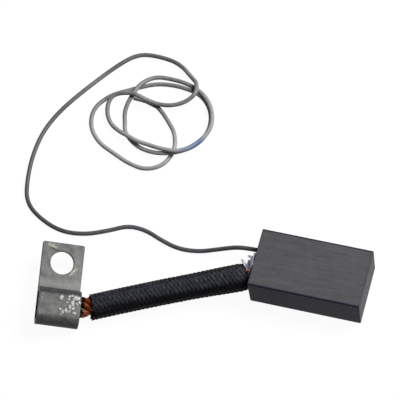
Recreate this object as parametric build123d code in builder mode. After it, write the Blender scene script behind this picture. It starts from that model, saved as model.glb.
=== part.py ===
"""Carbon brush: a graphite block with a sleeved copper shunt, a folded terminal and a wear-sensor lead.

Millimetres, +Z up. The block lies on its widest face, with the origin under its middle and its
running face towards +X. The shunt and the sensor lead leave its other end, towards -X.
"""

import os
from math import tan, radians

from build123d import *

# Graphite block
block_length = 40.0
block_width = 22.0
block_height = 14.0
block_edge_round = 0.4

# Socket that holds the shunt, and the copper powder rammed in round it
socket_from_front = 6.5
socket_depth = 13.0
socket_chamfer = 0.6
tamping_thickness = 0.9
tamping_recess = 1.0

# Hole for the wear sensor: its bottom marks how far the block may wear
sensor_hole_from_back = 5.5
sensor_hole_depth = 27.0
sensor_end_gap = 0.5
cement_thickness = 0.4
cement_length = 6.0

# Shunt: a stranded copper rope, round in its sleeve and pressed flat in the terminal.
# Places along it are measured from the foot of the block's end face, under its middle.
rope_diameter = 6.6
rope_flat_thickness = 4.0
rope_flat_width = 8.6
rope_flat_offset = 0.5
rope_end_gap = 1.0
rope_bend_radius = 6.0
rope_bend_from_block = 1.8
rope_middle = (-28.6, -15.9, 6.0)
rope_leaves_sleeve = (-53.2, -27.3, 4.75)

# Glass-yarn skirt, bound round the rope inside the sleeve and spread against the block
skirt_thickness = 0.2
skirt_clearance = 0.05
skirt_tail = 4.0
skirt_overlap = 1.4

# Black woven sleeve on the shunt, spread where it meets the skirt
sleeve_clearance = 0.1
sleeve_wall = 0.9
sleeve_flare = 0.5
sleeve_flare_length = 5.0
sleeve_start_from_bend = 1.3

# Terminal: one folded strip of tinned copper, its rolled barrel pressed round the rope
strip_thickness = 1.5
strip_width = 15.0
tab_corner_radius = 0.6
tab_hole_diameter = 8.4
tab_hole_from_barrel = 10.0
tab_hole_from_end = 7.1
barrel_mouth = (-57.2, -29.7, 4.3)
barrel_turn = (8.0, 20.0, 9.0)
barrel_side_room = 0.95
solder_film = 0.15
solder_recess = 0.5
seam_gap = 0.1

# Sensor lead: straight out of its hole, down to the surface, round and into its loose coil.
# Its points are measured as the shunt's are.
lead_diameter = 1.6
lead_straight = 4.0
lead_route = [
    (-9.0, 5.4, 6.0),
    (-15.5, 4.4, 3.2),
    (-22.5, 3.0, 0.9),
    (-30.0, 2.5, 0.8),
    (-37.0, 4.5, 0.8),
    (-43.0, 7.0, 0.8),
    (-50.0, 7.5, 0.8),
    (-56.5, 4.0, 0.8),
    (-65.0, 0.5, 0.8),
    (-74.5, 0.0, 0.8),
    (-84.5, 4.5, 0.8),
    (-89.5, 9.5, 0.8),
    (-91.5, 17.5, 0.8),
    (-92.5, 27.5, 0.8),
    (-91.5, 38.0, 0.8),
    (-87.5, 48.0, 0.8),
    (-80.0, 59.5, 0.8),
    (-71.5, 71.0, 0.8),
    (-65.5, 76.5, 0.8),
    (-57.5, 77.0, 0.8),
    (-49.5, 75.5, 1.0),
    (-43.0, 70.0, 2.0),
]
coil_layers = 3
coil_outline = [
    (-30.1, 50.0),
    (-32.3, 60.5),
    (-37.0, 66.0),
    (-46.0, 69.4),
    (-57.5, 68.8),
    (-64.0, 62.8),
    (-73.0, 57.0),
    (-76.8, 48.0),
    (-71.5, 38.0),
    (-60.0, 32.2),
    (-51.0, 30.2),
    (-44.0, 34.4),
    (-37.5, 39.4),
    (-31.8, 44.4),
]
coil_eye = [
    (-62.8, 50.0),
    (-61.0, 55.0),
    (-56.0, 55.4),
    (-49.5, 50.6),
    (-45.2, 45.0),
    (-46.0, 41.0),
    (-54.0, 41.6),
    (-60.8, 45.0),
]

back_face = -block_length / 2
end_foot = Plane(origin=(back_face, 0, 0))
socket_mouth = Plane(
    origin=(back_face, socket_from_front - block_width / 2, block_height / 2), z_dir=(-1, 0, 0)
)
sensor_mouth = Plane(
    origin=(back_face, block_width / 2 - sensor_hole_from_back, block_height / 2), z_dir=(-1, 0, 0)
)
rope_radius = rope_diameter / 2
socket_radius = rope_radius + tamping_thickness
lead_radius = lead_diameter / 2
sensor_hole_radius = lead_radius + cement_thickness


def corner_radii(points):
    """The largest arc that fits each corner of a route: 0.45 of its shorter run, by half its turn."""
    radii = []
    for before, corner, after in zip(points, points[1:], points[2:]):
        run_in = Vector(corner) - Vector(before)
        run_out = Vector(after) - Vector(corner)
        shorter_run = min(run_in.length, run_out.length)
        radii.append(0.45 * shorter_run / tan(radians(run_in.get_angle(run_out) / 2)))
    return radii


# Where the shunt leaves the block, turns towards the terminal and enters its sleeve
rope_foot = socket_mouth.from_local_coords((0, 0, rope_end_gap - socket_depth))
rope_bend = socket_mouth.from_local_coords((0, 0, rope_bend_from_block))
rope_points = [rope_foot, rope_bend]
rope_points += [end_foot.from_local_coords(point) for point in (rope_middle, rope_leaves_sleeve)]
rope_radii = [rope_bend_radius, corner_radii(rope_points)[1]]
sleeve_direction = (rope_points[2] - rope_bend).normalized()
sleeve_start = Plane(origin=rope_bend + sleeve_direction * sleeve_start_from_bend, z_dir=sleeve_direction)
rope_end = Plane(origin=rope_points[3], z_dir=rope_points[3] - rope_points[2])

# The terminal's own frame stands at the barrel's mouth: X out along the barrel, Y towards the tab
terminal_frame = Plane(Location(end_foot.from_local_coords(barrel_mouth), barrel_turn))
barrel_section = Plane(
    origin=terminal_frame.origin, x_dir=terminal_frame.y_dir, z_dir=terminal_frame.x_dir
)
flat_section = barrel_section.shift_origin(terminal_frame.from_local_coords((0, rope_flat_offset, 0)))
cavity_height = rope_flat_thickness + 2 * solder_film
cavity_width = rope_flat_width + 2 * barrel_side_room
fold_radius = (cavity_height + strip_thickness) / 2
strip_level = -fold_radius
front_fold = -cavity_width / 2 + cavity_height / 2
back_fold = cavity_width / 2 - cavity_height / 2
crease = back_fold + fold_radius + strip_thickness / 2
tab_face = terminal_frame.offset(strip_level + strip_thickness / 2)

# Graphite block with its two blind holes
with BuildPart() as brush_block:
    with Locations((0, 0, block_height / 2)):
        Box(block_length, block_width, block_height)
    fillet(brush_block.edges(), block_edge_round)
    with Locations(socket_mouth):
        CounterSinkHole(socket_radius, socket_radius + socket_chamfer, socket_depth)
    with Locations(sensor_mouth):
        Hole(sensor_hole_radius, sensor_hole_depth)
brush_block.part.label = "brush_block"

# Copper powder rammed round the rope, which holds it in the socket
with BuildPart() as tamping:
    with BuildSketch(socket_mouth.offset(-socket_depth)):
        Circle(socket_radius)
    extrude(amount=socket_depth - tamping_recess)
    with BuildSketch(socket_mouth.offset(rope_end_gap - socket_depth)):
        Circle(rope_radius)
    extrude(amount=socket_depth, mode=Mode.SUBTRACT)
tamping.part.label = "tamping"

# Copper rope: round from the socket to the sleeve's end, then pressed flat into the barrel
with BuildPart() as shunt_rope:
    with BuildLine():
        rope_line = FilletPolyline(*rope_points, radius=rope_radii)
    with BuildSketch(socket_mouth.offset(rope_end_gap - socket_depth)):
        Circle(rope_radius)
    sweep(path=rope_line)
    with BuildSketch(Plane(origin=rope_end.origin, x_dir=terminal_frame.y_dir, z_dir=rope_end.z_dir)):
        Ellipse(rope_radius, rope_radius)
    with BuildSketch(flat_section):
        Ellipse(rope_flat_width / 2, rope_flat_thickness / 2)
    loft()
    with BuildSketch(flat_section):
        Ellipse(rope_flat_width / 2, rope_flat_thickness / 2)
    extrude(amount=solder_recess - strip_width)
shunt_rope.part.label = "shunt_rope"

# Glass-yarn skirt: snug on the rope inside the sleeve, spreading to the block's end face
skirt_bore = rope_radius + skirt_clearance
skirt_outside = skirt_bore + skirt_thickness
skirt_mouth = socket_radius + socket_chamfer + skirt_overlap
skirt_foot = Plane(origin=socket_mouth.origin, x_dir=(0, 0, 1), z_dir=(-1, 0, 0))
skirt_neck = Plane(origin=sleeve_start.origin, x_dir=(0, 0, 1), z_dir=sleeve_direction)
with BuildPart() as yarn_skirt:
    with BuildSketch(skirt_foot):
        Circle(skirt_mouth)
    with BuildSketch(skirt_neck):
        Circle(skirt_outside)
    loft()
    with BuildSketch(skirt_neck):
        Circle(skirt_outside)
    extrude(amount=skirt_tail)
    with BuildSketch(skirt_foot):
        Circle(skirt_mouth - skirt_thickness)
    with BuildSketch(skirt_neck):
        Circle(skirt_bore)
    loft(mode=Mode.SUBTRACT)
    with BuildSketch(skirt_neck):
        Circle(skirt_bore)
    extrude(amount=skirt_tail, mode=Mode.SUBTRACT)
yarn_skirt.part.label = "yarn_skirt"

# Black woven sleeve, flared at the skirt
sleeve_bore = skirt_outside + sleeve_clearance
sleeve_outside = sleeve_bore + sleeve_wall
sleeve_points = [sleeve_start.origin] + rope_points[2:]
with BuildPart() as insulating_sleeve:
    with BuildLine():
        sleeve_line = FilletPolyline(*sleeve_points, radius=corner_radii(sleeve_points))
    with BuildSketch(sleeve_start):
        Circle(sleeve_outside)
    sweep(path=sleeve_line)
    with Locations(sleeve_start):
        Cone(
            sleeve_outside + sleeve_flare,
            sleeve_outside,
            sleeve_flare_length,
            align=(Align.CENTER, Align.CENTER, Align.MIN),
        )
    with BuildSketch(sleeve_start):
        Circle(sleeve_bore)
    sweep(path=sleeve_line, mode=Mode.SUBTRACT)
insulating_sleeve.part.label = "insulating_sleeve"

# Terminal: a strip whose tab carries the bolt hole and whose other end is rolled into the barrel
with BuildPart() as terminal:
    with BuildSketch(barrel_section):
        with BuildLine():
            Line((crease + tab_hole_from_barrel + tab_hole_from_end, strip_level), (front_fold, strip_level))
            front_arc = CenterArc((front_fold, 0), fold_radius, 270, -180)
            top_line = Line(front_arc @ 1, (back_fold, fold_radius))
            back_arc = CenterArc((back_fold, 0), fold_radius, 90, -90)
            Line(back_arc @ 1, (back_fold + fold_radius, strip_level + strip_thickness / 2 + seam_gap))
        trace(line_width=strip_thickness)
    extrude(amount=-strip_width)
    tab_corners = terminal.edges().filter_by(Axis(terminal_frame.origin, terminal_frame.z_dir))
    fillet(tab_corners.sort_by(Axis(terminal_frame.origin, terminal_frame.y_dir))[-2:], tab_corner_radius)
    with BuildSketch(tab_face):
        with Locations((-strip_width / 2, crease + tab_hole_from_barrel)):
            Circle(tab_hole_diameter / 2)
    extrude(amount=-strip_thickness, mode=Mode.SUBTRACT)
terminal.part.label = "terminal"

# Solder that fills the barrel round the flattened rope
with BuildPart() as barrel_solder:
    with BuildSketch(barrel_section.offset(-solder_recess)):
        SlotOverall(cavity_width, cavity_height)
        with Locations((rope_flat_offset, 0)):
            Ellipse(rope_flat_width / 2, rope_flat_thickness / 2, mode=Mode.SUBTRACT)
    extrude(amount=2 * solder_recess - strip_width)
barrel_solder.part.label = "barrel_solder"

# End of the sensor lead inside the block, and the cement that fixes it there
with BuildPart() as sensor_tail:
    with BuildSketch(sensor_mouth):
        Circle(lead_radius)
    extrude(amount=sensor_end_gap - sensor_hole_depth)
sensor_tail.part.label = "sensor_tail"

with BuildPart() as sensor_cement:
    with BuildSketch(sensor_mouth):
        Circle(sensor_hole_radius)
        Circle(lead_radius, mode=Mode.SUBTRACT)
    extrude(amount=-cement_length)
sensor_cement.part.label = "sensor_cement"

# Sensor lead, from the block along the surface to its loose coil
lead_points = [sensor_mouth.origin, sensor_mouth.from_local_coords((0, 0, lead_straight))]
lead_points += [end_foot.from_local_coords(point) for point in lead_route]
lead_radii = corner_radii(lead_points)
with BuildPart() as sensor_lead:
    with BuildLine():
        lead_line = FilletPolyline(*lead_points, radius=lead_radii)
    with BuildSketch(sensor_mouth):
        Circle(lead_radius)
    sweep(path=lead_line)
sensor_lead.part.label = "sensor_lead"

# Outer shape of the lead's coil: a flat, uneven ring, notched where the lead runs into it
with BuildPart() as sensor_lead_coil:
    with BuildSketch(end_foot):
        with BuildLine():
            Spline(*coil_outline, periodic=True)
        make_face()
        with BuildLine():
            Spline(*coil_eye, periodic=True)
        make_face(mode=Mode.SUBTRACT)
    extrude(amount=coil_layers * lead_diameter)
    add(sensor_lead.part, mode=Mode.SUBTRACT)
sensor_lead_coil.part.label = "sensor_lead_coil"

pieces = [
    brush_block,
    tamping,
    shunt_rope,
    insulating_sleeve,
    yarn_skirt,
    terminal,
    barrel_solder,
    sensor_tail,
    sensor_cement,
    sensor_lead,
    sensor_lead_coil,
]
os.makedirs("parts", exist_ok=True)
for piece in pieces:
    export_step(piece.part, f"parts/{piece.part.label}.step")
    print(piece.part.label, f"{piece.part.volume:.1f} mm3", "valid" if piece.part.is_valid else "not valid")

lead_section = Circle(lead_radius, mode=Mode.PRIVATE).area
print("lead radii", [round(radius, 1) for radius in lead_radii])
print("lead volume over section and length", round(sensor_lead.part.volume / lead_section / lead_line.length, 4))
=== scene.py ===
# %% [markdown]
# # A carbon brush in Blender
# The part is a small carbon block with a flexible copper shunt in a dark braided sleeve,
# a folded terminal for a bolt, and a thin grey wear-sensor lead in a loose coil.
# The solids come ready made in metres, so this lesson is about what solids can't show: a limp
# wire, a braid, strands, cut yarn, and the finishes of carbon, tin, copper and solder.

# %% Load the solids
import math
import bpy
from mathutils import Euler, Matrix, Vector


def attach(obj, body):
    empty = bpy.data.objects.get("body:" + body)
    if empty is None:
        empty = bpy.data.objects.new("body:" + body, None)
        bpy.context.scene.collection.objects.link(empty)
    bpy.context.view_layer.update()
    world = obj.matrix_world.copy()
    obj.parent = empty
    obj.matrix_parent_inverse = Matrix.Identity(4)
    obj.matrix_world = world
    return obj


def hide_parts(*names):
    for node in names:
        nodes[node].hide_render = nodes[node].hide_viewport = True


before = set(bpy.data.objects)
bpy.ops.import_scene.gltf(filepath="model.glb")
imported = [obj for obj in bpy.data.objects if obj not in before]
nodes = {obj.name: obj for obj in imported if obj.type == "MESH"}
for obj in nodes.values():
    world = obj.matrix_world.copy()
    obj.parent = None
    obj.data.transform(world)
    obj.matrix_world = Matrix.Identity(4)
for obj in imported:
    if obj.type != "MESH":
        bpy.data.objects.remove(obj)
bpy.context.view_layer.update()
MM = 0.001
print("solids:", ", ".join(sorted(nodes)))

# %% [markdown]
# ## The camera
# The brush was photographed from a steep angle with a long lens, a little turned and rolled.
# A camera could be aimed with a Track To constraint, but a constraint can't roll it.
# Three turns are written out instead: tilt from straight down, turn about the vertical, roll.

# %% Place the camera
scene = bpy.context.scene
camera_data = bpy.data.cameras.new("camera")
camera_data.sensor_width = 36.0
camera_data.lens = 216.0
camera_data.clip_start = 0.01
camera = bpy.data.objects.new("camera", camera_data)
scene.collection.objects.link(camera)
scene.camera = camera

CAMERA_AIM = Vector((-47.69, 23.298, 0.0)) * MM
CAMERA_DISTANCE = 864.18 * MM
CAMERA_TILT, CAMERA_TURN, CAMERA_ROLL = (math.radians(angle) for angle in (26.782, 26.681, -12.808))
camera_turning = (
    Matrix.Rotation(CAMERA_TURN, 4, "Z")
    @ Matrix.Rotation(CAMERA_TILT, 4, "X")
    @ Matrix.Rotation(CAMERA_ROLL, 4, "Z")
)
camera_back = Matrix.Translation((0, 0, CAMERA_DISTANCE))
camera.matrix_world = Matrix.Translation(CAMERA_AIM) @ camera_turning @ camera_back
print("camera at", [round(value, 4) for value in camera.matrix_world.translation])

# %% [markdown]
# ## The sensor lead
# The wear sensor's wire is 1.6 mm thick and limp. It leaves the block's back, wanders over the
# table in lazy curves and ends in a loose bundle of three turns that nothing ties.
# A wire like this is one curve with a round bevel. A NURBS spline of order 3 passes smoothly
# near given points, so the points can stay few. The turns are written as a distance from the
# bundle's middle for every 20 degrees, and a level that counts the wires lying underneath.

# %% Points of the lead
LEAD_RADIUS = 0.8
LEAD_ROUTE = [
    (-20.0, 5.5, 7.0), (-24.0, 5.5, 7.0), (-29.0, 5.4, 6.0), (-35.5, 4.4, 3.2),
    (-42.5, 3.0, 0.9), (-50.0, 2.5, 0.8), (-57.0, 4.5, 0.8), (-63.0, 7.0, 0.8),
    (-70.0, 7.5, 0.8), (-76.5, 4.0, 0.8), (-85.0, 0.5, 0.8), (-94.5, 0.0, 0.8),
    (-104.5, 4.5, 0.8), (-109.5, 9.5, 0.8), (-111.5, 17.5, 0.8), (-112.5, 27.5, 0.8),
    (-111.5, 38.0, 0.8), (-107.5, 48.0, 0.8), (-100.0, 59.5, 0.8), (-91.5, 71.0, 0.8),
    (-85.5, 76.5, 0.8), (-77.5, 77.0, 0.8), (-69.5, 75.5, 1.0), (-63.0, 70.0, 2.0),
]
# Here the third number is a level: how many other wires lie underneath
INTO_BUNDLE = [
    (-60.5, 67.5, 1.8), (-59.5, 63.0, 2.2), (-62.5, 59.0, 1.8), (-67.5, 57.0, 1.1),
    (-72.5, 56.5, 1.1), (-76.5, 57.0, 1.6), (-79.5, 57.5, 2.2),
]
BUNDLE_MIDDLE = (-74.0, 51.0)
FIRST_ANGLE, ANGLE_STEP = 140, 20
# Each row is half a turn
TURN_REACH = [
    11.5, 17.5, 17.0, 15.0, 12.5, 11.0, 11.0, 11.5, 14.5,
    19.5, 21.5, 23.5, 23.0, 21.5, 19.5, 18.0, 17.5, 14.5,
    11.5, 10.5, 10.0, 9.5, 10.5, 11.0, 12.0, 13.5, 16.0,
    18.5, 20.9, 22.6, 22.5, 20.9, 17.5, 15.5, 14.5, 14.0,
    15.0, 18.5, 22.0, 22.5, 21.0, 19.0, 19.5, 21.0, 20.0,
    16.0, 11.0, 7.0, 5.5, 5.0, 5.0, 5.5, 6.0, 8.0,
    11.0,
]
TURN_LEVEL = [
    2.3, 1.3, 0.3, 0.2, 0.8, 1.2, 1.2, 1.3, 2.0,
    2.2, 1.5, 1.1, 1.1, 0.7, 0.2, 0.0, 0.2, 1.2,
    1.2, 0.7, 0.2, 0.0, 0.0, 0.0, 0.0, 0.3, 1.1,
    1.1, 0.3,
]


def height_at(level):
    """Middle of the wire above the floor, when it lies over this many others."""
    return LEAD_RADIUS * (1 + 2 * level)


lead_points = list(LEAD_ROUTE) + [(x, y, height_at(level)) for x, y, level in INTO_BUNDLE]
for step, reach in enumerate(TURN_REACH):
    angle = math.radians(FIRST_ANGLE + ANGLE_STEP * step)
    level = TURN_LEVEL[step] if step < len(TURN_LEVEL) else 0.0
    x = BUNDLE_MIDDLE[0] + reach * math.cos(angle)
    y = BUNDLE_MIDDLE[1] + reach * math.sin(angle)
    lead_points.append((x, y, height_at(level)))
print("lead:", len(lead_points), "points, highest", max(point[2] for point in lead_points), "mm")


# %% Bend the lead
def round_wire(name, points, radius):
    """A wire along one smooth NURBS spline, from points in mm.

    Each point carries the wire's radius and the bevel's depth is 1, so that the curve's box, which
    counts the points' own radius, is as large as the wire and no larger.
    """
    data = bpy.data.curves.new(name, "CURVE")
    data.dimensions = "3D"
    data.resolution_u = 8
    data.bevel_depth = 1.0 if radius else 0.0
    data.bevel_resolution = 5
    data.use_fill_caps = True
    spline = data.splines.new("NURBS")
    spline.points.add(len(points) - 1)
    for spot, point in zip(spline.points, points):
        spot.co = (*(Vector(point) * MM), 1.0)
        spot.radius = radius * MM
    spline.order_u = 3
    spline.use_endpoint_u = True
    wire = bpy.data.objects.new(name, data)
    scene.collection.objects.link(wire)
    return wire


lead = round_wire("wear_sensor_lead", lead_points, LEAD_RADIUS)
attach(lead, "root")
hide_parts("sensor_lead", "sensor_lead_coil")

# %% [markdown]
# ## A few words for node trees
# Materials and Geometry Nodes are both graphs. Written out call by call they grow long, so a few
# small helpers make them read like sentences: a value in the dictionary may be a number or
# another node's socket, and the helper sets the first and links the second.

# %% Helpers for node trees
def add_node(tree, kind, values=None, **settings):
    """A node of one kind, with its settings, and its inputs set to numbers or linked to sockets."""
    node = tree.nodes.new(kind)
    for key, value in settings.items():
        setattr(node, key, value)
    for key, value in (values or {}).items():
        if isinstance(value, bpy.types.NodeSocket):
            tree.links.new(value, node.inputs[key])
        else:
            node.inputs[key].default_value = value
    return node


def made_by(tree, kind, values=None, **settings):
    """The first output of a new node."""
    return add_node(tree, kind, values, **settings).outputs[0]


def calc(tree, operation, *terms):
    """The result of one sum of numbers."""
    return made_by(tree, "ShaderNodeMath", dict(enumerate(terms)), operation=operation)


def times(tree, product, *factors):
    """Numbers multiplied with each other."""
    for factor in factors:
        product = calc(tree, "MULTIPLY", product, factor)
    return product


def vector_calc(tree, operation, *terms):
    """The result of one sum of vectors."""
    node = add_node(tree, "ShaderNodeVectorMath", dict(enumerate(terms)), operation=operation)
    return node.outputs["Value" if operation in ("DOT_PRODUCT", "LENGTH", "DISTANCE") else "Vector"]


def scaled(tree, vector, factor):
    """A vector made longer or shorter."""
    node = add_node(tree, "ShaderNodeVectorMath", {0: vector, "Scale": factor}, operation="SCALE")
    return node.outputs["Vector"]


def axis_of(tree, vector, axis):
    """One of a vector's three numbers."""
    return add_node(tree, "ShaderNodeSeparateXYZ", {"Vector": vector}).outputs[axis]


def clamped(tree, value):
    """A value kept between 0 and 1."""
    return made_by(tree, "ShaderNodeClamp", {"Value": value})


def ramp(tree, value, start, end, interpolation_type="LINEAR"):
    """0 before the start, 1 after the end, and growing between them."""
    node = add_node(
        tree, "ShaderNodeMapRange", {"Value": value, "From Min": start, "From Max": end},
        interpolation_type=interpolation_type,
    )
    return node.outputs["Result"]


def vector_of(tree, x, y, z):
    """A vector from three numbers."""
    return made_by(tree, "ShaderNodeCombineXYZ", {"X": x, "Y": y, "Z": z})


def blend_colours(tree, mask, first, second):
    """A colour that goes from the first to the second where the mask is 1."""
    values = {"Factor": mask, 6: first, 7: second}
    return add_node(tree, "ShaderNodeMix", values, data_type="RGBA").outputs[2]


def carried(tree, name):
    """A number that the points of a piece carry, for its material."""
    return add_node(tree, "ShaderNodeAttribute", attribute_name=name).outputs["Fac"]


def linear(shade):
    """One channel as it is seen on screen, 0 to 255, as the linear number that a shader wants."""
    share = shade / 255
    return share / 12.92 if share <= 0.04045 else ((share + 0.055) / 1.055) ** 2.4


def paint(red, green, blue):
    """A colour seen on screen as a shader colour."""
    return (linear(red), linear(green), linear(blue), 1.0)


def new_material(name, **settings):
    """A material, its tree and its Principled shader, with the shader's own even values set."""
    material = bpy.data.materials.new(name)
    material.use_nodes = True
    shader = material.node_tree.nodes["Principled BSDF"]
    for key, value in settings.items():
        shader.inputs[key.replace("_", " ").title().replace("Ior", "IOR")].default_value = value
    return material, material.node_tree, shader


def new_group(name, kind, inputs, outputs):
    """A node group with named sockets. Returns the group, what comes in and what goes out."""
    group = bpy.data.node_groups.new(name, kind)
    for title, kind_of_value, value in inputs:
        socket = group.interface.new_socket(
            name=title, in_out="INPUT", socket_type="NodeSocket" + kind_of_value
        )
        if value is not None:
            socket.default_value = value
    for title, kind_of_value in outputs:
        group.interface.new_socket(name=title, in_out="OUTPUT", socket_type="NodeSocket" + kind_of_value)
    coming_in = group.nodes.new("NodeGroupInput").outputs
    going_out = group.nodes.new("NodeGroupOutput").inputs
    print("group:", name, "with", len(inputs), "inputs")
    return group, coming_in, going_out


# %% [markdown]
# ## Floor and light
# The object lies on a plain white ground under a large lamp above and behind its right side.
# A floor that is simply white needs so much light that pale parts clip and the shadow is lost.
# So the floor is grey to the light, and glows only for the camera and for reflections: the
# lamp stays at a plain level and one soft, faint shadow is left.

# %% Floor
FLOOR_SIDE = 6.0
FLOOR_SHADE = 0.09
FLOOR_GLOW = 0.95
WHITE = (1, 1, 1, 1)
bpy.ops.mesh.primitive_plane_add(size=FLOOR_SIDE)
floor = bpy.context.object
floor.name = "floor"
floor_material = bpy.data.materials.new("white_ground")
floor_material.use_nodes = True
tree = floor_material.node_tree
tree.nodes.clear()
floor_colour = (FLOOR_SHADE, FLOOR_SHADE, FLOOR_SHADE, 1)
matt = made_by(tree, "ShaderNodeBsdfDiffuse", {"Color": floor_colour})
glow = made_by(tree, "ShaderNodeEmission", {"Color": WHITE, "Strength": FLOOR_GLOW})
matt_and_glow = made_by(tree, "ShaderNodeAddShader", {0: matt, 1: glow})
ray = add_node(tree, "ShaderNodeLightPath").outputs
looked_at = calc(tree, "MAXIMUM", ray["Is Camera Ray"], ray["Is Glossy Ray"])
looked_at = calc(tree, "MAXIMUM", looked_at, ray["Is Transmission Ray"])
ground = made_by(tree, "ShaderNodeMixShader", {"Fac": looked_at, 1: matt, 2: matt_and_glow})
add_node(tree, "ShaderNodeOutputMaterial", {"Surface": ground})
floor.data.materials.append(floor_material)

# %% Lamp and surroundings
LAMP_FROM = Vector((0.50, 0.35, 0.80)).normalized()
LAMP_AIM = Vector((-0.045, 0.015, 0.0))
LAMP_DISTANCE = 0.9
LAMP_SIDE = 0.45
LAMP_POWER = 7.3
SURROUNDINGS = 0.05
SKY = (0.86, 0.92, 1.0, 1)
lamp_data = bpy.data.lights.new("key_lamp", "AREA")
lamp_data.shape = "SQUARE"
lamp_data.size = LAMP_SIDE
lamp_data.energy = LAMP_POWER
lamp = bpy.data.objects.new("key_lamp", lamp_data)
scene.collection.objects.link(lamp)
lamp.location = LAMP_AIM + LAMP_FROM * LAMP_DISTANCE
lamp.rotation_euler = LAMP_FROM.to_track_quat("Z", "Y").to_euler()
world = bpy.data.worlds.new("surroundings")
world.use_nodes = True
tree = world.node_tree
background = tree.nodes["Background"]
looked_at = add_node(tree, "ShaderNodeLightPath").outputs["Is Camera Ray"]
tree.links.new(blend_colours(tree, looked_at, SKY, WHITE), background.inputs["Color"])
strength = calc(tree, "MULTIPLY_ADD", looked_at, 1.0 - SURROUNDINGS, SURROUNDINGS)
tree.links.new(strength, background.inputs["Strength"])
scene.world = world
scene.view_settings.view_transform = "Standard"
print("lamp at", [round(value, 3) for value in lamp.location])

# %% [markdown]
# ## Effects that several finishes share
# Pressed carbon, tin, solder and cement are all blotchy at some scale, and their edges differ
# from their faces. Copying those nodes into each material would mean mending them many times.
# Each effect is a node group instead, built once with named inputs: "mottle" is a noise with
# its size in millimetres, "edge" finds the rounded borders with a Bevel node, and "stroke" is
# a soft line between two points, for a scrape, a smear, or painted light and shade.

# %% Mottle
mottle, given, result = new_group(
    "mottle", "ShaderNodeTree",
    [("Place", "Vector", None), ("Size", "Float", 1.0), ("Contrast", "Float", 2.0)],
    [("Mask", "Float")],
)
grains_per_metre = calc(mottle, "DIVIDE", 1 / MM, given["Size"])
noise = add_node(
    mottle, "ShaderNodeTexNoise",
    {"Vector": given["Place"], "Scale": grains_per_metre, "Detail": 3.0, "Roughness": 0.6},
).outputs["Fac"]
stretched = calc(mottle, "MULTIPLY_ADD", calc(mottle, "SUBTRACT", noise, 0.5), given["Contrast"], 0.5)
mottle.links.new(clamped(mottle, stretched), result["Mask"])

# %% Edge
edge, given, result = new_group(
    "edge", "ShaderNodeTree",
    [("Reach", "Float", 0.4), ("Gain", "Float", 4.0)],
    [("Mask", "Float"), ("Normal", "Vector")],
)
radius = times(edge, given["Reach"], MM)
rounded = made_by(edge, "ShaderNodeBevel", {"Radius": radius}, samples=6)
flat_normal = add_node(edge, "ShaderNodeNewGeometry").outputs["True Normal"]
facing = vector_calc(edge, "DOT_PRODUCT", rounded, flat_normal)
turned = times(edge, calc(edge, "SUBTRACT", 1.0, facing), given["Gain"])
edge.links.new(clamped(edge, turned), result["Mask"])
edge.links.new(rounded, result["Normal"])

# %% Stroke
stroke, given, result = new_group(
    "stroke", "ShaderNodeTree",
    [
        ("Place", "Vector", None), ("Start", "Vector", None), ("End", "Vector", None),
        ("Width", "Float", 1.0),
    ],
    [("Mask", "Float")],
)
run = vector_calc(stroke, "SUBTRACT", given["End"], given["Start"])
reached = vector_calc(stroke, "SUBTRACT", given["Place"], given["Start"])
along = vector_calc(stroke, "DOT_PRODUCT", reached, run)
whole = vector_calc(stroke, "DOT_PRODUCT", run, run)
share = clamped(stroke, calc(stroke, "DIVIDE", along, whole))
apart = vector_calc(stroke, "LENGTH", vector_calc(stroke, "SUBTRACT", reached, scaled(stroke, run, share)))
width = times(stroke, given["Width"], MM)
fade = calc(stroke, "SUBTRACT", 1.0, calc(stroke, "DIVIDE", apart, width))
stroke.links.new(clamped(stroke, fade), result["Mask"])


# %% Placing the shared effects
def effect(tree, group, **values):
    """One use of a shared group in a material. Returns its outputs."""
    node = tree.nodes.new("ShaderNodeGroup")
    node.node_tree = group
    for key, value in values.items():
        socket = node.inputs[key.replace("_", " ").capitalize()]
        if isinstance(value, bpy.types.NodeSocket):
            tree.links.new(value, socket)
        else:
            socket.default_value = value
    return node.outputs


def mottle_mask(tree, place, size, contrast):
    """A blotchy mask, with the size of its blotches in millimetres."""
    return effect(tree, mottle, place=place, size=size, contrast=contrast)["Mask"]


def stroke_mask(tree, place, start, end, width):
    """A mask along the line between two places in metres. Its width is in millimetres."""
    return effect(tree, stroke, place=place, start=tuple(start), end=tuple(end), width=width)["Mask"]


def limited(tree, mask, strength, most):
    """A mask made stronger or weaker, and kept under a limit."""
    return calc(tree, "MINIMUM", times(tree, mask, strength), most)


def mixed(tree, first, share, second):
    """One mask by its share and another by the rest."""
    return calc(tree, "MULTIPLY_ADD", first, share, times(tree, second, 1 - share))


def on_object(x, y, z):
    """A point in mm as a place on the object in metres."""
    return Vector((x, y, z)) * MM


def with_strokes(tree, place, colour, strokes, most=1.0, find=on_object):
    """A colour under soft strokes of others. Each has two ends, a width, a strength and a colour."""
    for start, end, width, strength, shade in strokes:
        mark = stroke_mask(tree, place, find(*start), find(*end), width)
        colour = blend_colours(tree, limited(tree, mark, strength, most), colour, paint(*shade))
    return colour


def bump(tree, height, strength, depth, normal=None):
    """A normal raised by a height, with the depth in millimetres."""
    values = {"Height": height, "Strength": strength, "Distance": depth * MM}
    if normal is not None:
        values["Normal"] = normal
    return add_node(tree, "ShaderNodeBump", values).outputs["Normal"]


def object_place(tree):
    """Where a point of the surface is on the object, in metres."""
    return add_node(tree, "ShaderNodeTexCoord").outputs["Object"]


def streaky_place(tree, place, along):
    """Coordinates pulled out along the block, so that a pattern on them becomes streaks."""
    return made_by(tree, "ShaderNodeMapping", {"Vector": place, "Scale": (along, 1.0, 1.0)})


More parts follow.
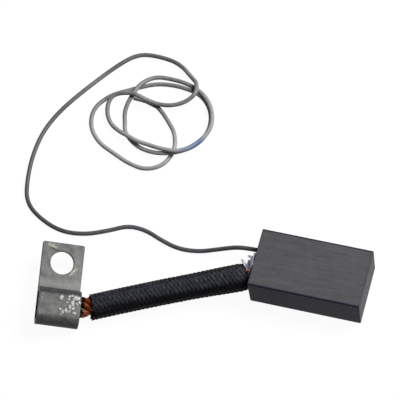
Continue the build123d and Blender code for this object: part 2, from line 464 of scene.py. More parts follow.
def link_finish(tree, shader, colour, uneven=None, normal=None):
    """Links a colour, a roughness and a normal to the shader. What is left out stays even.

    The roughness is given as a mask, how much it adds, and the least roughness.
    """
    roughness = calc(tree, "MULTIPLY_ADD", *uneven) if uneven else None
    for title, socket in (("Base Color", colour), ("Roughness", roughness), ("Normal", normal)):
        if socket is not None:
            tree.links.new(socket, shader.inputs[title])


def finish_node(name, material):
    """Gives a solid its finish."""
    nodes[name].data.materials.clear()
    nodes[name].data.materials.append(material)
    print(name, "is finished in", material.name)


# %% [markdown]
# ## Graphite
# The block is pressed and ground carbon: a matt dark grey that is faintly streaked along its
# length by the grinding, with fine grain. Its two long upper edges are painted almost black, and
# its front side gets painted shade, darker and bluer than its top.
# A flat grey would look like plastic. Streaks, clouds and grain are three mottles of different
# size, added up, and their sum lifts the surface a little. The edges take the edge mask, with
# strokes along the upper ones.

# %% Graphite finish
graphite, tree, shader = new_material("ground_graphite", specular_ior_level=0.15)
place = object_place(tree)
streaks = mottle_mask(tree, streaky_place(tree, place, along=0.08), size=0.9, contrast=1.7)
clouds = mottle_mask(tree, place, size=4.0, contrast=1.6)
grain = mottle_mask(tree, streaky_place(tree, place, along=0.5), size=0.45, contrast=1.6)
tone = calc(tree, "MULTIPLY_ADD", clouds, 0.25, times(tree, grain, 0.4))
tone = calc(tree, "MULTIPLY_ADD", streaks, 0.35, tone)
border = effect(tree, edge, reach=0.9, gain=5.0)
colour = blend_colours(tree, tone, paint(68, 68, 72), paint(118, 118, 120))
colour = blend_colours(tree, times(tree, border["Mask"], 0.75), colour, paint(36, 36, 50))
# Painted shade: the front side is made darker and bluer than the top.
painted_front_shade = ramp(tree, axis_of(tree, place, "Y"), -10.7 * MM, -11.0 * MM)
colour = blend_colours(tree, times(tree, painted_front_shade, 0.35), colour, paint(56, 56, 92))
# Dark lines painted along the two long upper edges, and a darker band on the right end just below its upper
# edge.
UPPER_EDGES = (
    ((-20.0, -11.0, 14.0), (19.4, -11.0, 14.0), 0.85, 1.8, (24, 25, 52)),
    ((-20.0, 11.0, 14.0), (19.4, 11.0, 14.0), 0.85, 1.8, (24, 25, 52)),
    ((20.0, -11.0, 13.4), (20.0, 11.0, 13.4), 1.3, 0.5, (52, 52, 58)),
)
colour = with_strokes(tree, place, colour, UPPER_EDGES, most=0.85)
link_finish(tree, shader, colour, (grain, 0.2, 0.48), bump(tree, tone, strength=0.35, depth=0.08))
finish_node("brush_block", graphite)

# %% [markdown]
# ## Tin on the terminal
# The terminal is one strip of tinned copper, folded and pressed, and its tin has gone dull and
# blotchy. It is scraped beside the hole. Light and shade are painted in as well: a painted
# highlight along the fold, and painted shade in the crease, on the front of the barrel and on the
# rounded edges. The scrapes are strokes too, broken up by a fine mottle.
# The places of those marks are measured on the terminal itself, so they are first turned from
# the terminal's own directions into the object's.

# %% Terminal's own directions
BARREL_MOUTH = Vector((-77.2, -29.7, 4.3))
barrel_turn = Euler([math.radians(angle) for angle in (8, 20, 9)], "ZYX").to_matrix()
OUT_OF_BARREL, TOWARDS_TAB, OFF_THE_FACE = barrel_turn.col
BARREL_TOP, TAB_TOP = 3.65, -2.15


def on_terminal(out, across, off):
    """A point in the terminal's own directions, in mm, as a place on the object in metres."""
    return (BARREL_MOUTH + OUT_OF_BARREL * out + TOWARDS_TAB * across + OFF_THE_FACE * off) * MM


# %% Tin finish
tin, tree, shader = new_material("dull_tin", metallic=0.2, specular_ior_level=0.25)
place = object_place(tree)
blotches = mottle_mask(tree, place, size=2.6, contrast=2.2)
specks = mottle_mask(tree, place, size=0.7, contrast=2.2)
tone = mixed(tree, blotches, 0.6, specks)
colour = blend_colours(tree, tone, paint(76, 76, 76), paint(150, 150, 146))
broken = calc(tree, "MULTIPLY_ADD", mottle_mask(tree, place, size=0.5, contrast=3.0), 0.8, 0.35)
PAINTED_LIGHT_MARKS_AND_SCRAPES = (
    # Painted highlight on the tab along the fold.
    ((-15.0, 8.8, TAB_TOP), (0.0, 8.8, TAB_TOP), 3.0, 0.6, (164, 164, 158)),
    ((-11.7, 21.6, TAB_TOP), (-9.3, 20.9, TAB_TOP), 0.5, 0.8, (60, 60, 64)),
    ((-1.8, 10.5, TAB_TOP), (-1.8, 19.0, TAB_TOP), 3.0, 0.4, (164, 164, 158)),
    # Painted shade in the crease and on the barrel's back below it, in these three strokes.
    ((-15.0, 6.2, 0.6), (0.0, 6.2, 0.6), 2.4, 0.95, (34, 36, 46)),
    ((-15.0, 4.9, 3.2), (0.0, 4.9, 3.2), 3.2, 0.75, (56, 57, 62)),
    ((-15.0, 6.9, TAB_TOP), (0.0, 6.9, TAB_TOP), 0.7, 0.9, (44, 46, 60)),
    # Painted shade on the front of the barrel.
    ((-15.0, -6.2, -0.6), (0.0, -6.2, -0.6), 5.1, 0.97, (27, 28, 32)),
    ((-3.4, 0.6, BARREL_TOP), (-1.2, 0.6, BARREL_TOP), 3.6, 0.3, (150, 149, 146)),
    ((-12.7, 22.9, TAB_TOP), (-11.4, 22.5, TAB_TOP), 0.8, broken, (205, 203, 184)),
    ((-11.4, 22.5, TAB_TOP), (-10.1, 21.9, TAB_TOP), 0.6, broken, (205, 203, 184)),
    ((-3.8, 13.2, TAB_TOP), (-2.5, 15.0, TAB_TOP), 0.8, broken, (205, 204, 192)),
    ((-4.4, 12.4, TAB_TOP), (-3.4, 13.8, TAB_TOP), 0.5, broken, (190, 189, 178)),
)
colour = with_strokes(tree, place, colour, PAINTED_LIGHT_MARKS_AND_SCRAPES, find=on_terminal)
# Painted shade on the rounded edges and the hole's rim.
border = effect(tree, edge, reach=0.5, gain=3.0)
colour = blend_colours(tree, times(tree, border["Mask"], 0.8), colour, paint(58, 58, 66))
raised = bump(tree, tone, strength=0.4, depth=0.12, normal=border["Normal"])
link_finish(tree, shader, colour, (specks, 0.2, 0.4), raised)
finish_node("terminal", tin)

# %% [markdown]
# ## Yarns, wires and strands
# The black sleeve is braided: ten flat yarns wind one way round it, ten wind the other
# way, and each passes over and under those it meets. The copper rope inside is laid: six
# bundles of fine wires wind round a straight core. Both are yarns that follow a path while they
# turn round it, so one Geometry Nodes tree makes both, from named inputs.
# A yarn's angle grows along the path. Its distance from the path's middle rises and falls with
# a cosine that has one wave for each two yarns it crosses, and the other family has the same
# wave upside down, so that wherever two yarns meet, one is up and the other is down.

# %% Helpers for the trees that make pieces
def copied_lines(tree, points, amount):
    """Straight lines to be bent. Returns them, each line's number and each point's share of the way."""
    line = made_by(tree, "GeometryNodeCurvePrimitiveLine")
    line = made_by(tree, "GeometryNodeResampleCurve", {"Curve": line, "Count": points})
    copies = add_node(
        tree, "GeometryNodeDuplicateElements", {"Geometry": line, "Amount": amount}, domain="SPLINE"
    ).outputs
    share = add_node(tree, "GeometryNodeSplineParameter").outputs["Factor"]
    return copies["Geometry"], copies["Duplicate Index"], share


def random_value(tree, low, high, seed, number=None, data_type="FLOAT"):
    """A random value between two others, for each numbered line, or else for each point."""
    first = 0 if data_type == "FLOAT_VECTOR" else 2
    values = {first: low, first + 1: high, "Seed": seed}
    if number is not None:
        values["ID"] = number
    node = add_node(tree, "FunctionNodeRandomValue", values, data_type=data_type)
    return node.outputs[0 if data_type == "FLOAT_VECTOR" else 1]


def moved(tree, geometry, position):
    """Points taken to new places."""
    values = {"Geometry": geometry, "Position": position}
    return made_by(tree, "GeometryNodeSetPosition", values)


def carrying(tree, geometry, name, value):
    """Points that carry a number, for the material to read."""
    values = {"Geometry": geometry, "Name": name, "Value": value}
    return made_by(tree, "GeometryNodeStoreNamedAttribute", values, domain="POINT")


def swept(tree, curve, section):
    """A closed mesh with this section along each curve."""
    values = {"Curve": curve, "Profile Curve": section, "Fill Caps": True}
    return made_by(tree, "GeometryNodeCurveToMesh", values)


def send_out(tree, geometry, material, result):
    """Ends a tree: what it made becomes one mesh, gets its material and goes out."""
    mesh = made_by(tree, "GeometryNodeRealizeInstances", {"Geometry": geometry})
    mesh = made_by(tree, "GeometryNodeSetMaterial", {"Geometry": mesh, "Material": material})
    tree.links.new(mesh, result["Geometry"])


# %% The tree that lays yarns round a path
laid_yarns, given, result = new_group(
    "laid_yarns", "GeometryNodeTree",
    [
        ("Path", "Object", None), ("Across", "Vector", (0, 1, 0)), ("Points", "Int", 200),
        ("Yarns", "Int", 12), ("Turns", "Float", 3.0), ("Weave height", "Float", 0.0),
        ("Reach at start", "Vector", (0.004, 0.004, 0)), ("Reach at end", "Vector", (0.004, 0.004, 0)),
        ("Change from", "Float", 0.0), ("Change to", "Float", 1.0),
        ("Wires in a yarn", "Int", 1), ("Wire turns", "Float", 0.0), ("Wire reach", "Float", 0.0),
        ("Width", "Float", 0.001), ("Thickness", "Float", 0.0003),
        ("Seed", "Int", 1), ("Unevenness", "Float", 0.0), ("Lean", "Float", 0.0),
        ("Shoulder", "Float", 0.01), ("Shoulder drop", "Float", 0.0), ("Finish", "Material", None),
    ],
    [("Geometry", "Geometry")],
)
tree = laid_yarns
wires = given["Wires in a yarn"]
amount = times(tree, given["Yarns"], wires)
lines, number, share = copied_lines(tree, given["Points"], amount)
path = add_node(tree, "GeometryNodeObjectInfo", {"Object": given["Path"]}).outputs["Geometry"]
spot = add_node(tree, "GeometryNodeSampleCurve", {"Curves": path, "Factor": share}, mode="FACTOR").outputs
forward = spot["Tangent"]
part_forward = scaled(tree, forward, vector_calc(tree, "DOT_PRODUCT", given["Across"], forward))
sideways = vector_calc(tree, "NORMALIZE", vector_calc(tree, "SUBTRACT", given["Across"], part_forward))
upwards = vector_calc(tree, "CROSS_PRODUCT", forward, sideways)


def growing_angle(one, all_of_them, turns):
    """The angle of one of several yarns or wires, which grows along the path."""
    start = calc(tree, "DIVIDE", one, all_of_them)
    return times(tree, calc(tree, "ADD", start, times(tree, turns, share)), math.tau)


yarn_number = calc(tree, "FLOOR", calc(tree, "DIVIDE", number, wires))
wire_number = calc(tree, "SUBTRACT", number, times(tree, yarn_number, wires))
yarn_angle = growing_angle(yarn_number, given["Yarns"], given["Turns"])
cosine, sine = calc(tree, "COSINE", yarn_angle), calc(tree, "SINE", yarn_angle)
change = ramp(tree, share, given["Change from"], given["Change to"], "SMOOTHSTEP")
reach = add_node(
    tree, "ShaderNodeMix", {"Factor": change, 4: given["Reach at start"], 5: given["Reach at end"]},
    data_type="VECTOR",
).outputs[1]
reach = add_node(tree, "ShaderNodeSeparateXYZ", {"Vector": reach}).outputs


def round_path(reach_sideways, reach_upwards):
    """A vector away from the path, at the yarn's angle."""
    return vector_calc(
        tree, "ADD",
        scaled(tree, sideways, times(tree, cosine, reach_sideways)),
        scaled(tree, upwards, times(tree, sine, reach_upwards)),
    )


offset = round_path(reach["X"], reach["Y"])
outwards = vector_calc(tree, "NORMALIZE", round_path(reach["Y"], reach["X"]))
beside = vector_calc(tree, "CROSS_PRODUCT", forward, outwards)

# %% Rise and fall of each yarn
WOBBLES_PER_WAVE, YARN_TO_YARN = 0.6, 7.3
waves = times(tree, given["Yarns"], calc(tree, "ABSOLUTE", given["Turns"]), share)
rise = times(tree, calc(tree, "COSINE", times(tree, waves, math.tau)), given["Weave height"])
noise_along = times(tree, waves, WOBBLES_PER_WAVE)
noise_across = times(tree, yarn_number, YARN_TO_YARN)
noise_place = vector_of(tree, noise_along, noise_across, given["Seed"])
wobble = add_node(tree, "ShaderNodeTexNoise", {"Vector": noise_place, "Scale": 1.0, "Detail": 1.0})
wobble = calc(tree, "SUBTRACT", wobble.outputs["Fac"], 0.5)
rise = calc(tree, "MULTIPLY_ADD", wobble, given["Unevenness"], rise)
past_shoulder = calc(tree, "MINIMUM", calc(tree, "DIVIDE", share, given["Shoulder"]), 1.0)
drop = calc(tree, "POWER", calc(tree, "SUBTRACT", 1.0, past_shoulder), 2.0)
rise = calc(tree, "SUBTRACT", rise, times(tree, drop, given["Shoulder drop"]))
wire_angle = growing_angle(wire_number, wires, given["Wire turns"])
wire_out = calc(tree, "MULTIPLY_ADD", calc(tree, "COSINE", wire_angle), given["Wire reach"], rise)
wire_beside = times(tree, calc(tree, "SINE", wire_angle), given["Wire reach"])
held_back = times(tree, cosine, given["Lean"], share)
position = vector_calc(tree, "ADD", spot["Position"], offset)
position = vector_calc(tree, "ADD", position, scaled(tree, outwards, wire_out))
position = vector_calc(tree, "ADD", position, scaled(tree, beside, wire_beside))
position = vector_calc(tree, "SUBTRACT", position, scaled(tree, forward, held_back))

# %% From lines to yarns
laid = moved(tree, lines, position)
laid = made_by(tree, "GeometryNodeSetCurveNormal", {"Curve": laid, "Normal": outwards}, mode="FREE")
laid = carrying(tree, laid, "tone", random_value(tree, 0.0, 1.0, given["Seed"], number))
# How much each yarn faces up. The black yarn's material paints its sheen and shade from this.
laid = carrying(tree, laid, "upness", axis_of(tree, outwards, "Z"))
section = made_by(tree, "GeometryNodeCurvePrimitiveCircle", {"Resolution": 8, "Radius": 0.5})
section = carrying(tree, section, "around", add_node(tree, "GeometryNodeSplineParameter").outputs["Factor"])
size = vector_of(tree, given["Thickness"], given["Width"], 1.0)
section = made_by(tree, "GeometryNodeTransform", {"Geometry": section, "Scale": size})
send_out(tree, swept(tree, laid, section), given["Finish"], result)
print("laid_yarns:", len(laid_yarns.nodes), "nodes")


# %% Running a tree
def grown(name, tree, **values):
    """Runs a Geometry Nodes tree and returns its result as a plain mesh object."""
    holder = bpy.data.objects.new(name + "_tree", bpy.data.meshes.new(name + "_base"))
    scene.collection.objects.link(holder)
    modifier = holder.modifiers.new("tree", "NODES")
    modifier.node_group = tree
    identifiers = {
        item.name: item.identifier for item in tree.interface.items_tree
        if item.item_type == "SOCKET" and item.in_out == "INPUT"
    }
    for key, value in values.items():
        modifier[identifiers[key.replace("_", " ").capitalize()]] = value
    ready = holder.evaluated_get(bpy.context.evaluated_depsgraph_get())
    mesh = bpy.data.meshes.new_from_object(ready)
    mesh.name = name
    bpy.data.objects.remove(holder)
    made = bpy.data.objects.new(name, mesh)
    scene.collection.objects.link(made)
    triangles = sum(len(face.vertices) - 2 for face in mesh.polygons)
    print(name, len(mesh.vertices), "points,", triangles, "triangles")
    return made


def smooth_path(name, points):
    """A path through the middle of something, as a NURBS curve with no thickness."""
    wire = round_wire(name, points, 0.0)
    wire.data.resolution_u = 12
    return wire


def joined(name, parts):
    """Several made meshes as one piece, shaded smooth."""
    bpy.ops.object.select_all(action="DESELECT")
    for part in parts:
        part.select_set(True)
    bpy.context.view_layer.objects.active = parts[0]
    if len(parts) > 1:
        bpy.ops.object.join()
    whole = bpy.context.view_layer.objects.active
    whole.name = name
    whole.data.polygons.foreach_set("use_smooth", [True] * len(whole.data.polygons))
    return whole


# %% [markdown]
# ## Loose fibres
# Where the shunt enters the block, cut glass yarn and a few broken copper wires stand out.
# Hair particles could do it, but their result is hard to pin down. A small tree does better:
# each fibre is a short curve from a ring round the rope to a place on another ring, and named
# inputs say how wide the fan is and how far its ends stray.

# %% The tree for a fan of fibres
fibre_fan, given, result = new_group(
    "fibre_fan", "GeometryNodeTree",
    [
        ("Foot", "Vector", None), ("Foot radius", "Float", 0.0035),
        ("Tip", "Vector", None), ("Tip radius", "Float", 0.006),
        ("From angle", "Float", 0.0), ("To angle", "Float", math.tau), ("Fibres", "Int", 100),
        ("Spread", "Float", 0.0005), ("Curl", "Float", 0.0005), ("Shortest", "Float", 0.7),
        ("Thickness", "Float", 0.00015), ("Seed", "Int", 1), ("Finish", "Material", None),
    ],
    [("Geometry", "Geometry")],
)
ANGLE_DRAW, STRAY_DRAW, LENGTH_DRAW, CURL_DRAW, TONE_DRAW = 10, 20, 30, 40, 50
POINTS_IN_A_FIBRE = 9
tree = fibre_fan
lines, number, share = copied_lines(tree, POINTS_IN_A_FIBRE, given["Fibres"])


def chance(low, high, draw):
    """A random number for each fibre. Each draw is apart from the others."""
    return random_value(tree, low, high, calc(tree, "ADD", given["Seed"], draw), number)


def any_direction(draw):
    """A random vector for each fibre, up to 1 along each axis."""
    seed = calc(tree, "ADD", given["Seed"], draw)
    return random_value(tree, (-1, -1, -1), (1, 1, 1), seed, number, "FLOAT_VECTOR")


angle = chance(given["From angle"], given["To angle"], ANGLE_DRAW)
ring = vector_of(tree, 0.0, calc(tree, "COSINE", angle), calc(tree, "SINE", angle))
foot = vector_calc(tree, "ADD", given["Foot"], scaled(tree, ring, given["Foot radius"]))
tip = vector_calc(tree, "ADD", given["Tip"], scaled(tree, ring, given["Tip radius"]))
tip = vector_calc(tree, "ADD", tip, scaled(tree, any_direction(STRAY_DRAW), given["Spread"]))
reached = times(tree, share, chance(given["Shortest"], 1.0, LENGTH_DRAW))
place = vector_calc(tree, "ADD", foot, scaled(tree, vector_calc(tree, "SUBTRACT", tip, foot), reached))
bend = times(tree, calc(tree, "SINE", times(tree, reached, math.pi)), given["Curl"])
place = vector_calc(tree, "ADD", place, scaled(tree, any_direction(CURL_DRAW), bend))
fibres = carrying(tree, moved(tree, lines, place), "tone", chance(0.0, 1.0, TONE_DRAW))
radius = times(tree, given["Thickness"], 0.5)
section = made_by(tree, "GeometryNodeCurvePrimitiveCircle", {"Resolution": 5, "Radius": radius})
send_out(tree, swept(tree, fibres, section), given["Finish"], result)

# %% [markdown]
# ## The braided sleeve
# The sleeve is a heat-proof braid, near black. A painted sheen makes its yarns paler where they
# face up, and painted shade makes them darker at the sides and below. It is about 9 mm across,
# and a little wider towards the block.
# A texture on a tube would leave a smooth outline. Real yarns give the outline its fine teeth
# and let the light pick out the ribs, and 20 flat yarns are light enough to model. A lining of
# straight yarns under them closes the braid's small gaps.

# %% Yarn finish
FILAMENTS = 14
yarn_black, tree, shader = new_material("black_yarn", specular_ior_level=0.06)
fuzz = mottle_mask(tree, object_place(tree), size=0.9, contrast=2.2)
shade = mixed(tree, carried(tree, "tone"), 0.3, fuzz)
colour = blend_colours(tree, shade, paint(21, 22, 27), paint(95, 96, 106))
# Painted sheen: yarns that face up are shown paler. Painted shade: those that face sideways or down turn a
# flat dark grey.
painted_top_sheen = ramp(tree, carried(tree, "upness"), 0.58, 1.08)
colour = blend_colours(tree, painted_top_sheen, paint(28, 29, 32), colour)
filaments = calc(tree, "SINE", times(tree, carried(tree, "around"), math.tau * FILAMENTS))
link_finish(tree, shader, colour, (fuzz, 0.25, 0.45), bump(tree, filaments, strength=0.3, depth=0.05))

# %% Braid
SLEEVE_START, SLEEVE_MIDDLE = (-21.9, -5.0, 6.93), (-48.6, -16.1, 6.0)
SLEEVE_END = (-73.1, -27.75, 4.75)
sleeve_path = smooth_path("sleeve_path", [SLEEVE_START, SLEEVE_MIDDLE, SLEEVE_END])


def reach_of(sideways, upwards):
    """How far from the path the yarns lie, from mm."""
    return (sideways * MM, upwards * MM, 0)


braid = []
for winding, lift in ((1, 0.1), (-1, -0.05)):
    braid.append(grown(
        f"braid_{winding}", laid_yarns, path=sleeve_path, across=(0, 0, 1), yarns=10, turns=3.7 * winding,
        weave_height=0.13 * MM * winding, reach_at_start=reach_of(4.6 + lift, 4.6 + lift),
        reach_at_end=reach_of(4.25 + lift, 4.25 + lift), change_from=0.03, change_to=0.40,
        width=1.35 * MM, thickness=0.32 * MM, points=290, seed=3 + winding, unevenness=0.12 * MM,
        shoulder=0.05, shoulder_drop=0.7 * MM, lean=1.3 * MM, finish=yarn_black,
    ))
lining = grown(
    "lining", laid_yarns, path=sleeve_path, across=(0, 0, 1), yarns=20, turns=0.0,
    reach_at_start=reach_of(4.05, 4.05), reach_at_end=reach_of(3.95, 3.95),
    width=1.45 * MM, thickness=0.35 * MM, points=60, seed=1,
    shoulder=0.03, shoulder_drop=0.3 * MM, lean=1.3 * MM, finish=yarn_black,
)
sleeve = joined("braided_sleeve", braid + [lining])
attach(sleeve, "root")
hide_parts("insulating_sleeve")

# %% [markdown]
# ## The copper rope
# The shunt is a rope of six bundles of fine wires round a core. It shows between the sleeve
# and the barrel, and as a spot of copper at the block. In the barrel it is pressed flat. Its
# wires are unevenly tarnished, and painted shade darkens them at the barrel's mouth and in the
# gap at the block.
# The same tree lays it: the bundles' reach changes from round to flat near the end of the path.

# %% Copper finish
copper, tree, shader = new_material("bare_copper", metallic=0.35, specular_ior_level=0.5)
place = object_place(tree)
tarnish = mottle_mask(tree, place, size=1.6, contrast=2.4)
shade = mixed(tree, carried(tree, "tone"), 0.5, tarnish)
colour = blend_colours(tree, shade, paint(146, 58, 30), paint(222, 120, 68))
past_mouth = vector_calc(tree, "SUBTRACT", place, BARREL_MOUTH * MM)
past_mouth = vector_calc(tree, "DOT_PRODUCT", past_mouth, tuple(OUT_OF_BARREL))
# Painted shade: the wires go almost black at the barrel's mouth and in the shaded gap at the block.
shade_at_mouth = ramp(tree, past_mouth, 1.6 * MM, 0.9 * MM)
shade_at_block = stroke_mask(tree, place, on_object(-21.0, -7.0, 4.0), on_object(-21.0, -6.0, 8.2), width=3.0)
painted_shade = calc(tree, "MAXIMUM", shade_at_mouth, limited(tree, shade_at_block, 2.0, 1.0))
colour = blend_colours(tree, painted_shade, colour, paint(26, 14, 16))
link_finish(tree, shader, colour, (tarnish, 0.2, 0.32))

# %% Rope
rope_path = smooth_path("rope_path", [
    (-8.0, -4.5, 7.0), (-19.5, -4.5, 7.0), (-22.0, -4.6, 6.98), (-25.5, -6.05, 6.87), SLEEVE_MIDDLE,
    (-70.5, -26.0, 5.0), (-75.4, -28.2, 4.85), (-79.5, -29.7, 5.2), (-89.2, -31.8, 8.4),
])


def laid_in_rope(name, **values):
    """Bundles along the rope's path, round at first and pressed flat in the barrel."""
    return grown(
        name, laid_yarns, path=rope_path, across=tuple(TOWARDS_TAB), points=150,
        change_from=0.79, change_to=0.85, **values,
    )


strands = laid_in_rope(
    "strands", yarns=6, turns=4.55, reach_at_start=reach_of(2.0, 2.0), reach_at_end=reach_of(2.9, 1.0),
    wires_in_a_yarn=9, wire_turns=14.0, wire_reach=0.76 * MM, width=0.60 * MM, thickness=0.60 * MM,
    seed=5, finish=copper,
)
core = laid_in_rope(
    "core", yarns=2, turns=0.0, reach_at_start=reach_of(0.3, 0.3), reach_at_end=reach_of(1.4, 0.3),
    wires_in_a_yarn=9, wire_turns=9.0, wire_reach=1.0 * MM, width=0.75 * MM, thickness=0.75 * MM,
    seed=6, finish=copper,
)
stray_wires = grown(
    "stray_wires", fibre_fan, foot=(-21.9 * MM, -4.9 * MM, 6.95 * MM), foot_radius=3.4 * MM,
    tip=(-21.3 * MM, -4.9 * MM, 11.7 * MM), tip_radius=0.5 * MM, from_angle=1.35, to_angle=1.85, fibres=22,
    spread=0.25 * MM, curl=0.2 * MM, shortest=0.8, thickness=0.3 * MM, seed=31, finish=copper,
)
rope = joined("copper_rope", [strands, core, stray_wires])
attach(rope, "root")
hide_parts("shunt_rope")

# %% [markdown]
# ## The glass-yarn fringe
# A sleeve of white glass yarn lies under the black one, and its frayed end fans out against the
# block: most fibres stand together along the end face, and two tufts bend away from it.
# A single dull thread also lies between two bundles of the rope at its other end. The fan's
# tree makes the fringe and the rope's tree makes the thread.

# %% Glass yarn finish
glass_yarn, tree, shader = new_material("glass_yarn", specular_ior_level=0.5)
bends = mottle_mask(tree, object_place(tree), size=0.6, contrast=2.2)
shade = mixed(tree, carried(tree, "tone"), 0.7, bends)
colour = blend_colours(tree, shade, paint(184, 182, 200), paint(238, 237, 247))
link_finish(tree, shader, colour, (bends, 0.2, 0.36))

# %% Fringe
FOOT, NEAR_FOOT = Vector((-21.9, -4.9, 6.95)), Vector((-21.3, -4.9, 6.95))
SOCKET_MOUTH, HOOK_FOOT = Vector((-20.6, -4.5, 7.0)), Vector((-21.0, 0.3, 12.1))
fringe_parts = []
for title, foot, foot_radius, tip, tip_radius, from_angle, to_angle, fibres, spread, shortest, seed in (
    ("inner_fan", FOOT, 3.6, SOCKET_MOUTH, 3.9, -0.5, 1.5, 80, 0.1, 0.80, 10),
    ("edge_band", NEAR_FOOT, 3.6, Vector((-20.45, -1.3, 11.4)), 2.4, 0.5, 2.3, 380, 0.25, 0.70, 11),
    ("band_beside", NEAR_FOOT, 3.6, Vector((-21.2, -0.9, 11.5)), 1.6, 0.6, 2.0, 300, 0.3, 0.65, 16),
    ("edge_tuft", NEAR_FOOT, 3.6, Vector((-20.35, 1.2, 12.9)), 0.6, 0.4, 1.5, 200, 0.25, 0.60, 12),
    ("short_fibres", NEAR_FOOT, 3.6, Vector((-21.2, -2.2, 10.2)), 1.8, 0.8, 1.9, 200, 0.3, 0.40, 17),
    ("filling", FOOT, 3.6, Vector((-21.9, -1.7, 10.7)), 1.2, 0.7, 2.0, 260, 0.5, 0.60, 15),
    ("hook", HOOK_FOOT, 0.3, Vector((-22.6, 0.2, 12.7)), 0.2, 0.0, math.tau, 50, 0.15, 0.85, 13),
    ("outer_tuft", FOOT, 3.6, Vector((-24.5, -1.6, 12.0)), 0.3, 0.9, 1.5, 80, 0.25, 0.85, 14),
):
    fringe_parts.append(grown(
        title, fibre_fan, foot=tuple(foot * MM), foot_radius=foot_radius * MM, tip=tuple(tip * MM),
        tip_radius=tip_radius * MM, from_angle=from_angle, to_angle=to_angle, fibres=fibres,
        spread=spread * MM, curl=0.12 * MM, shortest=shortest, thickness=0.2 * MM, seed=seed,
        finish=glass_yarn,
    ))
fringe = joined("glass_yarn_fringe", fringe_parts)
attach(fringe, "root")
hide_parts("yarn_skirt")

# %% Thread
dull_yarn, tree, shader = new_material("dull_yarn", specular_ior_level=0.3)
stains = mottle_mask(tree, object_place(tree), size=0.7, contrast=2.2)
colour = blend_colours(tree, stains, paint(98, 89, 62), paint(146, 135, 100))
link_finish(tree, shader, colour, (stains, 0.2, 0.6))
thread = joined("rope_thread", [laid_in_rope(
    "thread", yarns=1, turns=4.39, reach_at_start=reach_of(2.5, 2.5), reach_at_end=reach_of(3.3, 1.5),
    wires_in_a_yarn=4, wire_turns=20.0, wire_reach=0.25 * MM, width=0.4 * MM, thickness=0.4 * MM,
    seed=7, finish=dull_yarn,
)])
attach(thread, "root")

# %% [markdown]
# ## Solder on the barrel
# The barrel was filled with solder, and some of it lies on top near its mouth as rough beads.
# Beads placed by hand would take long and look placed. The tree scatters points on the
# terminal's own faces, most of them near a middle, puts a small ball of few faces on each,
# and presses it flat along the face's normal.

# %% The tree for beads on a surface
beads, given, result = new_group(
    "beads_on_a_face", "GeometryNodeTree",
    [
        ("Surface", "Object", None), ("Middle", "Vector", None), ("Reach", "Float", 0.004),
        ("Facing", "Vector", (0, 0, 1)), ("Density", "Float", 1e6), ("Smallest", "Float", 0.0002),
        ("Largest", "Float", 0.0008), ("Flatness", "Float", 0.5), ("Seed", "Int", 1),
        ("Finish", "Material", None),
    ],
    [("Geometry", "Geometry")],
)
BEAD_LENGTH_DRAW, BEAD_TURN_DRAW = 5, 9
LEAST_FACING = 0.8
tree = beads
surface = add_node(tree, "GeometryNodeObjectInfo", {"Object": given["Surface"]}).outputs["Geometry"]
position = made_by(tree, "GeometryNodeInputPosition")
away = vector_calc(tree, "DISTANCE", position, given["Middle"])
near = clamped(tree, calc(tree, "SUBTRACT", 1.0, calc(tree, "DIVIDE", away, given["Reach"])))
normal = made_by(tree, "GeometryNodeInputNormal")
facing = vector_calc(tree, "DOT_PRODUCT", normal, given["Facing"])
on_top = calc(tree, "GREATER_THAN", facing, LEAST_FACING)
density = times(tree, near, on_top, given["Density"])
faces = made_by(tree, "GeometryNodeSubdivideMesh", {"Mesh": surface, "Level": 5})
scattered = add_node(
    tree, "GeometryNodeDistributePointsOnFaces",
    {"Mesh": faces, "Density": density, "Seed": given["Seed"]}, distribute_method="RANDOM",
).outputs
ball = add_node(tree, "GeometryNodeMeshIcoSphere", {"Radius": 0.5, "Subdivisions": 2}).outputs["Mesh"]
width = random_value(tree, given["Smallest"], given["Largest"], given["Seed"])
length = random_value(tree, 0.8, 1.6, calc(tree, "ADD", given["Seed"], BEAD_LENGTH_DRAW))
length = times(tree, width, length)
size = vector_of(tree, width, length, times(tree, width, given["Flatness"]))
turn_seed = calc(tree, "ADD", given["Seed"], BEAD_TURN_DRAW)
turn = random_value(tree, (0, 0, 0), (0, 0, math.tau), turn_seed, data_type="FLOAT_VECTOR")
placed = made_by(
    tree, "GeometryNodeInstanceOnPoints",
    {"Points": scattered["Points"], "Instance": ball, "Rotation": scattered["Rotation"], "Scale": size},
)
placed = made_by(tree, "GeometryNodeRotateInstances", {"Instances": placed, "Rotation": turn})
send_out(tree, placed, given["Finish"], result)

# %% Solder finish
solder, tree, shader = new_material("bright_solder", metallic=0.35, specular_ior_level=0.5)
dull = mottle_mask(tree, object_place(tree), size=0.8, contrast=2.4)
colour = blend_colours(tree, dull, paint(146, 146, 144), paint(202, 200, 192))
link_finish(tree, shader, colour, (dull, 0.2, 0.36), bump(tree, dull, strength=0.3, depth=0.12))
finish_node("barrel_solder", solder)

# %% Beads
bead_parts = []
for title, out, across, reach, density, smallest, largest, seed in (
    ("beads_at_mouth", -3.0, 2.0, 2.9, 2.4e6, 0.9, 2.0, 21),
    ("beads_below", -3.2, -0.9, 2.4, 1.2e6, 0.6, 1.4, 24),
    ("beads_beside", -5.8, -2.0, 2.2, 1.8e6, 0.7, 1.5, 22),
    ("bead_alone", -7.4, 3.0, 0.5, 6.0e6, 1.6, 2.0, 23),
    ("beads_far", -14.0, 2.6, 1.4, 1.2e6, 0.5, 0.9, 25),
):
    bead_parts.append(grown(
        title, beads, surface=nodes["terminal"], middle=tuple(on_terminal(out, across, BARREL_TOP)),
        reach=reach * MM, facing=tuple(OFF_THE_FACE), density=density, smallest=smallest * MM,
        largest=largest * MM, flatness=0.3, seed=seed, finish=solder,
    ))
solder_beads = joined("solder_beads", bead_parts)
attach(solder_beads, "root")

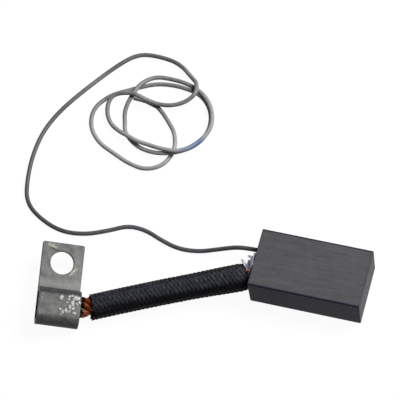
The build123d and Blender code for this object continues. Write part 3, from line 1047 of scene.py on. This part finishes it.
# %% [markdown]
# ## Powder and cement
# Two small fillings sit in the block's end: copper powder rammed in round the rope, and dark
# cement that holds the sensor lead. Grains could be modelled, but they are smaller than a dot of
# the picture. The mottle and a bump are enough, and one function makes both.

# %% Powder and cement finishes
def grainy_finish(solid, name, size, contrast, dark, light, strength, depth, **settings):
    """A grainy material on one of the solids, between two colours."""
    material, tree, shader = new_material(name, **settings)
    grain = mottle_mask(tree, object_place(tree), size, contrast)
    colour = blend_colours(tree, grain, paint(*dark), paint(*light))
    link_finish(tree, shader, colour, normal=bump(tree, grain, strength, depth))
    finish_node(solid, material)


grainy_finish(
    "tamping", "rammed_copper_powder", size=0.3, contrast=3.0, dark=(96, 52, 36), light=(176, 104, 72),
    strength=0.6, depth=0.1, metallic=0.4, roughness=0.7,
)
grainy_finish(
    "sensor_cement", "dark_cement", size=0.35, contrast=2.4, dark=(66, 65, 64), light=(112, 110, 108),
    strength=0.5, depth=0.08, roughness=0.85,
)

# %% [markdown]
# ## Lead jacket
# The sensor lead has a smooth grey jacket. It is darkest near the block, at the far left and
# round its farthest bend, and lighter in the bundle. Painted light makes it palest on the bundle's
# lower and right turns, over the shade that the wires cast on each other. A little blue has rubbed
# off on one of them.
# A painted image could hold all this, but it would need unwrapping and fitting. Strokes between
# points of the object are easy to move, and mottles keep the rest of the jacket uneven.

# %% Jacket finish
SMEAR = ((-58.2, 40.6, 2.4), (-54.0, 44.4, 2.0))
DARK_STRETCH = ((-93.0, 69.5, 0.8), (-72.0, 76.5, 0.8))
# Painted light on the bundle's lower turns and its right side, over the shade the wires cast on each other.
PAINTED_LIGHT_ON_TURNS = ((-92.0, 35.0, 1.5), (-58.0, 39.0, 1.5))
PAINTED_LIGHT_ON_SIDE = ((-52.0, 52.0, 2.0), (-54.5, 65.0, 2.0))
jacket, tree, shader = new_material("grey_jacket", specular_ior_level=0.5)
place = object_place(tree)
patches = mottle_mask(tree, place, size=9.0, contrast=2.0)
scuffs = mottle_mask(tree, place, size=1.4, contrast=2.0)
shade = mixed(tree, patches, 0.6, scuffs)
dark = blend_colours(tree, shade, paint(80, 81, 88), paint(116, 116, 121))
light = blend_colours(tree, shade, paint(124, 124, 131), paint(182, 181, 181))
far = ramp(tree, axis_of(tree, place, "Y"), 2.0 * MM, 42.0 * MM)
inner = ramp(tree, axis_of(tree, place, "X"), -108.0 * MM, -94.0 * MM)
lightness = times(tree, far, calc(tree, "MULTIPLY_ADD", inner, 0.85, 0.15))
colour = blend_colours(tree, lightness, dark, light)
JACKET_MARKS = (
    (*DARK_STRETCH, 9.0, 0.7, (84, 86, 86)), (*PAINTED_LIGHT_ON_TURNS, 16.0, 1.1, (200, 200, 203)),
    (*PAINTED_LIGHT_ON_SIDE, 6.0, 0.5, (206, 206, 211)), (*SMEAR, 3.4, 1.6, (44, 112, 180)),
)
colour = with_strokes(tree, place, colour, JACKET_MARKS, most=0.9)
link_finish(tree, shader, colour, (scuffs, 0.2, 0.38), bump(tree, scuffs, strength=0.2, depth=0.05))
lead.data.materials.append(jacket)
finish_node("sensor_tail", jacket)

# %% [markdown]
# ## Path curves
# The curves that only served as paths are removed.

# %% Remove the path curves
for helper_curve in (sleeve_path, rope_path):
    bpy.data.objects.remove(helper_curve)
bpy.context.view_layer.update()
